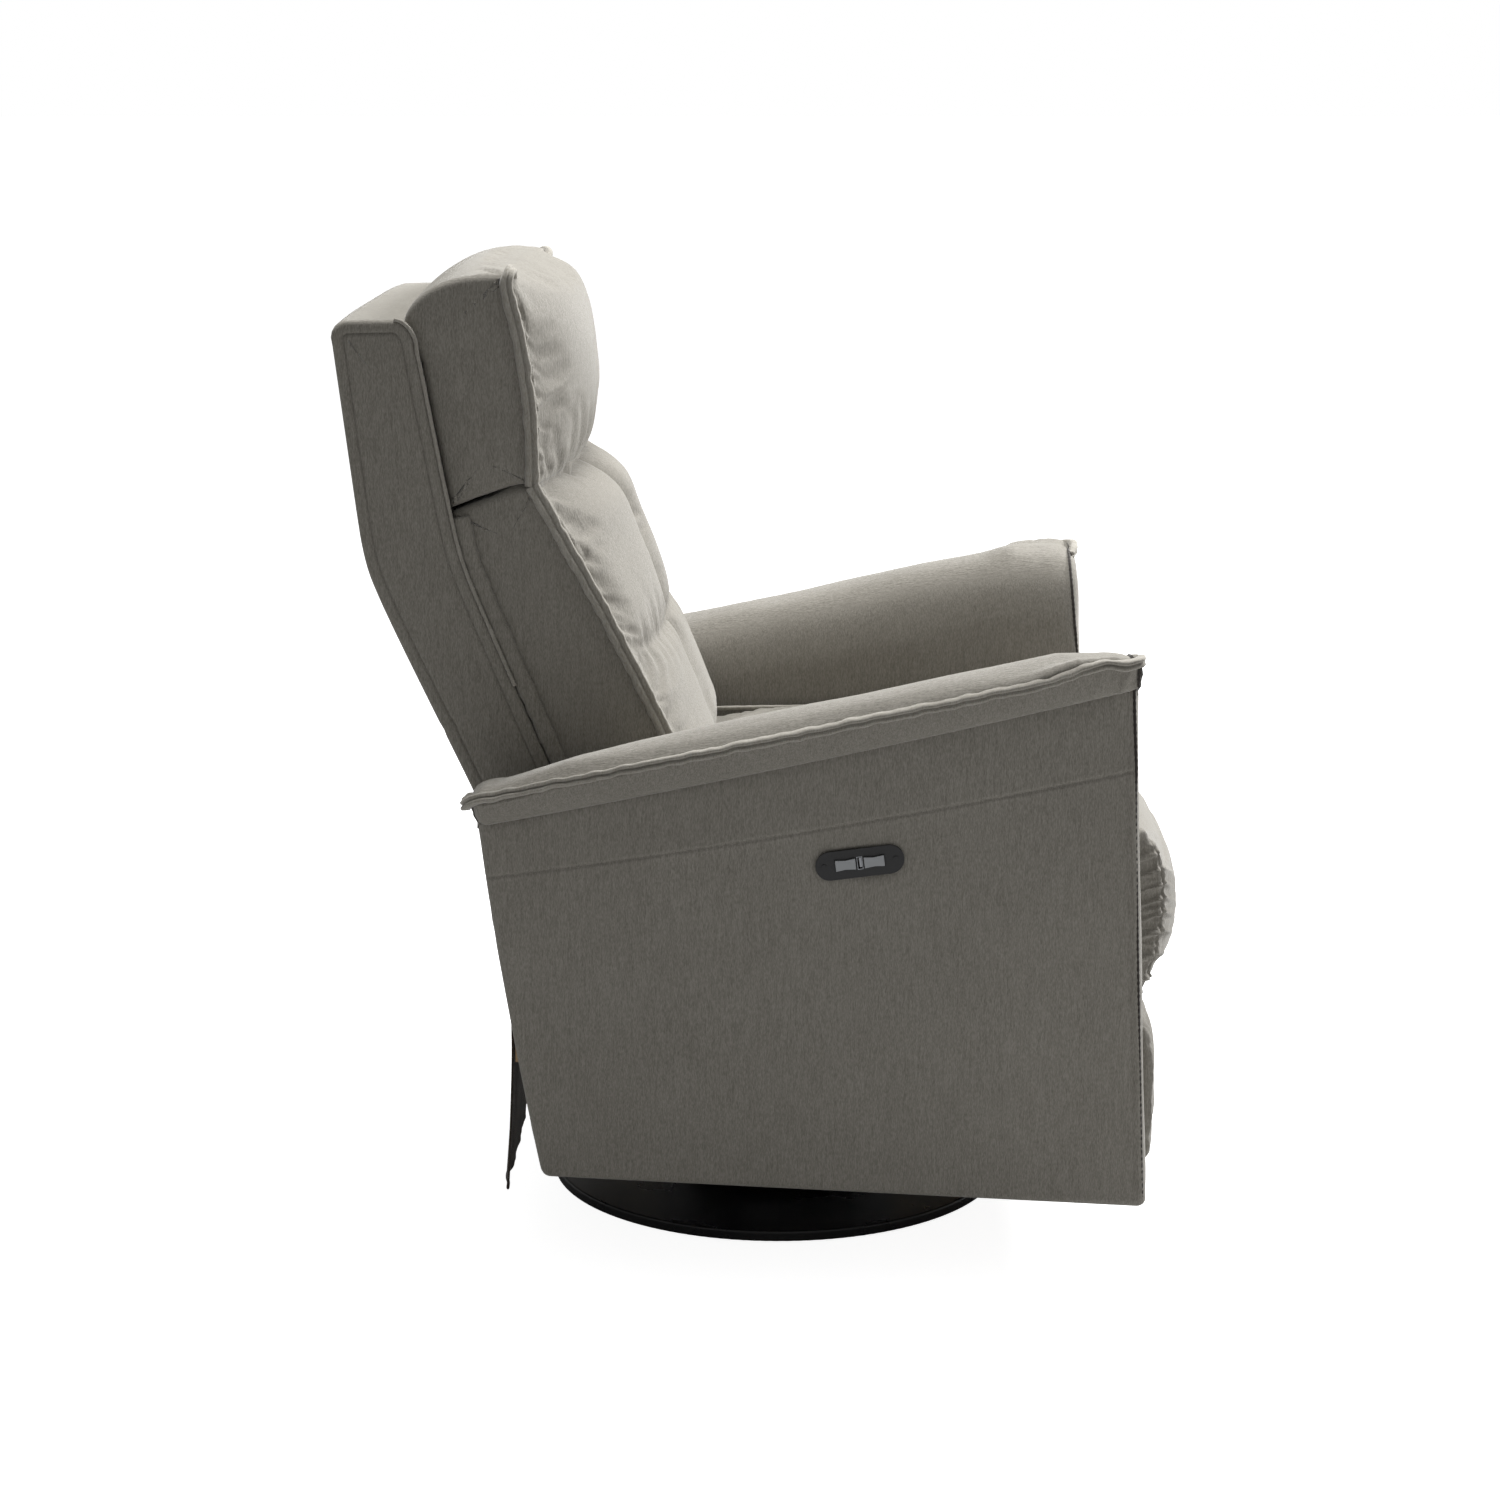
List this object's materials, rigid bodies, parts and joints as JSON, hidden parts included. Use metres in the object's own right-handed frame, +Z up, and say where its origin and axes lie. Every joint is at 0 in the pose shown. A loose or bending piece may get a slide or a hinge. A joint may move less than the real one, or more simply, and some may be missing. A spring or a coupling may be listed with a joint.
{
  "type": "recliner armchair",
  "caption": "Upholstered power recliner with swivel-rocker disc base, padded arms, tilting headrest, flip-out footrest and a control plate on one arm.",
  "frame": {"origin": "on the floor, on the swivel axis of the disc base", "axes": "+Z up; the chair faces -Y, so the sitter's left hand is at +X; the control plate is on the -X arm"},
  "size_m": [0.796, 0.8728, 1.041],
  "materials": {
    "fabric_body": "heathered grey-taupe woven upholstery",
    "fabric_skirt": "dark brown woven lining",
    "foam": "open-cell polyurethane foam",
    "webbing": "elastic webbing",
    "hardwood": "sawn hardwood",
    "plywood": "birch plywood",
    "black_steel": "semi-gloss black powder coat",
    "zinc_steel": "zinc-plated steel",
    "spring_steel": "oiled spring steel",
    "bearing_steel": "polished bearing steel",
    "black_plastic": "fine-grained black moulding",
    "silver_plastic": "satin silver-grey moulding",
    "port_metal": "stamped port shell",
    "glide_plastic": "hard nylon"
  },
  "bodies": {
    "base": {"base_disc": "black_steel", "glide_pads": "glide_plastic", "lower_race": "bearing_steel", "base_bolts": "zinc_steel"},
    "turntable": {"bearing_balls": "bearing_steel", "upper_race": "bearing_steel", "swivel_stud": "zinc_steel", "swivel_plate": "black_steel", "rocker_stands": "black_steel", "rocker_shaft": "zinc_steel", "rocker_springs": "spring_steel"},
    "seat": {"rocker_hangers": "black_steel", "side_boards": "plywood", "cross_members": "black_steel", "front_rail": "hardwood", "rear_rail": "hardwood", "rear_skirt": "fabric_skirt", "seat_springs": "spring_steel", "side_plates": "black_steel", "seat_pins": "zinc_steel", "seat_cushion": "fabric_body", "arm_cover_left": "fabric_body", "arm_cover_right": "fabric_body", "arm_frame_left": "plywood", "arm_frame_right": "plywood", "arm_pad_left": "foam", "arm_pad_right": "foam", "control_plate": "black_plastic", "usb_port": "port_metal", "control_screws": "black_plastic", "switch_box": "black_plastic", "actuator_rail": "zinc_steel", "actuator_motor": "black_plastic", "power_supply": "black_plastic", "power_inlet": "black_plastic"},
    "backrest": {"back_shell": "fabric_body", "back_stiles": "hardwood", "back_brackets": "black_steel", "back_rails": "hardwood", "back_webbing": "webbing", "back_cushion": "fabric_body", "headrest_arms": "black_steel", "headrest_pins": "zinc_steel", "headrest_motor": "black_plastic"},
    "headrest": {"headrest_lugs": "black_steel", "headrest_board": "plywood", "headrest_pad": "fabric_body"},
    "lift_linkage": {"lift_links": "black_steel", "drive_tube": "black_steel", "lift_link_pins": "zinc_steel"},
    "swing_linkage": {"swing_links": "black_steel", "swing_link_pins": "zinc_steel"},
    "footrest": {"footrest_board": "plywood", "footrest_brackets": "black_steel", "footrest_pad_upper": "fabric_body", "footrest_pad_lower": "fabric_body"},
    "carriage": {"actuator_carriage": "zinc_steel"},
    "recline_switch": {"recline_button": "silver_plastic"},
    "headrest_switch": {"headrest_button": "silver_plastic"}
  },
  "joints": [
    {"name": "swivel", "type": "hinge", "parent": "base", "child": "turntable", "pos_m": [0, 0, 0.04], "axis": [0, 0, 1], "continuous": true},
    {"name": "rock", "type": "hinge", "parent": "turntable", "child": "seat", "pos_m": [0, 0, 0.105], "axis": [-1, 0, 0], "range_deg": [-5, 8], "stiffness_Nm_per_rad": 1600, "deforming": ["rocker_springs"]},
    {"name": "recline", "type": "hinge", "parent": "seat", "child": "backrest", "pos_m": [0, 0.2, 0.33], "axis": [-1, 0, 0], "range_deg": [0, 38]},
    {"name": "headrest_tilt", "type": "hinge", "parent": "backrest", "child": "headrest", "pos_m": [0, 0.224, 0.81203], "axis": [1, 0, 0], "range_deg": [0, 30]},
    {"name": "footrest_lift", "type": "hinge", "parent": "seat", "child": "lift_linkage", "pos_m": [0, -0.325, 0.27], "axis": [-1, 0, 0], "range_deg": [0, 90.01]},
    {"name": "footrest_swing", "type": "hinge", "parent": "lift_linkage", "child": "swing_linkage", "pos_m": [0, -0.325, 0.105], "axis": [-1, 0, 0], "range_deg": [-180.01, 0]},
    {"name": "footrest_level", "type": "hinge", "parent": "swing_linkage", "child": "footrest", "pos_m": [0, -0.325, 0.27], "axis": [-1, 0, 0], "range_deg": [0, 180.01]},
    {"name": "carriage_travel", "type": "slide", "parent": "seat", "child": "carriage", "axis": [0, -1, 0], "range_m": [0, 0.086]},
    {"name": "recline_press", "type": "hinge", "parent": "seat", "child": "recline_switch", "pos_m": [-0.3665, -0.09618, 0.44782], "axis": [0, 0.1271, 0.9919], "range_deg": [-6, 6], "stiffness_Nm_per_rad": 0.05},
    {"name": "headrest_press", "type": "hinge", "parent": "seat", "child": "headrest_switch", "pos_m": [-0.3665, -0.06782, 0.44418], "axis": [0, 0.1271, 0.9919], "range_deg": [-6, 6], "stiffness_Nm_per_rad": 0.05}
  ],
  "couplings": [
    {"joint": "footrest_lift", "follows": "recline", "ratio": 2.3684},
    {"joint": "footrest_swing", "follows": "recline", "ratio": -4.7368},
    {"joint": "footrest_level", "follows": "recline", "ratio": 4.7368},
    {"joint": "carriage_travel", "follows": "recline", "m_per_rad": 0.1283}
  ]
}
